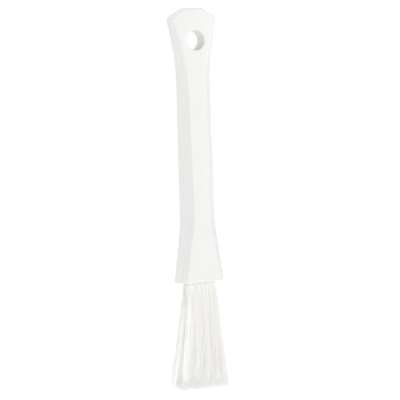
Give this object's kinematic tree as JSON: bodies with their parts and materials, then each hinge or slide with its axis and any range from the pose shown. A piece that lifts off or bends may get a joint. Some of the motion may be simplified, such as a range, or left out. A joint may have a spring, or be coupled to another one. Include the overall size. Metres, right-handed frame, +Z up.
{
  "type": "detail brush",
  "caption": "Slim long-handled detail brush with a hang hole, a flared head and a soft fan of straight filament tufts.",
  "frame": {"origin": "centre of the hanging hole, halfway through the handle's depth", "axes": "+Z runs up along the handle, from the bristles to the top edge; X is across the width; -Y is the front"},
  "size_m": [0.0335, 0.0126, 0.205],
  "materials": {
    "handle_plastic": "satin white moulded polypropylene",
    "filament": "off-white translucent polyester filament",
    "anchor_wire": "drawn stainless wire"
  },
  "bodies": {
    "root": {"handle": "handle_plastic", "tuft_front_1": "filament", "tuft_front_2": "filament", "tuft_front_3": "filament", "tuft_front_4": "filament", "tuft_front_5": "filament", "tuft_back_1": "filament", "tuft_back_2": "filament", "tuft_back_3": "filament", "tuft_back_4": "filament", "tuft_back_5": "filament", "anchor_front_1": "anchor_wire", "anchor_front_2": "anchor_wire", "anchor_front_3": "anchor_wire", "anchor_front_4": "anchor_wire", "anchor_front_5": "anchor_wire", "anchor_back_1": "anchor_wire", "anchor_back_2": "anchor_wire", "anchor_back_3": "anchor_wire", "anchor_back_4": "anchor_wire", "anchor_back_5": "anchor_wire"}
  },
  "joints": []
}
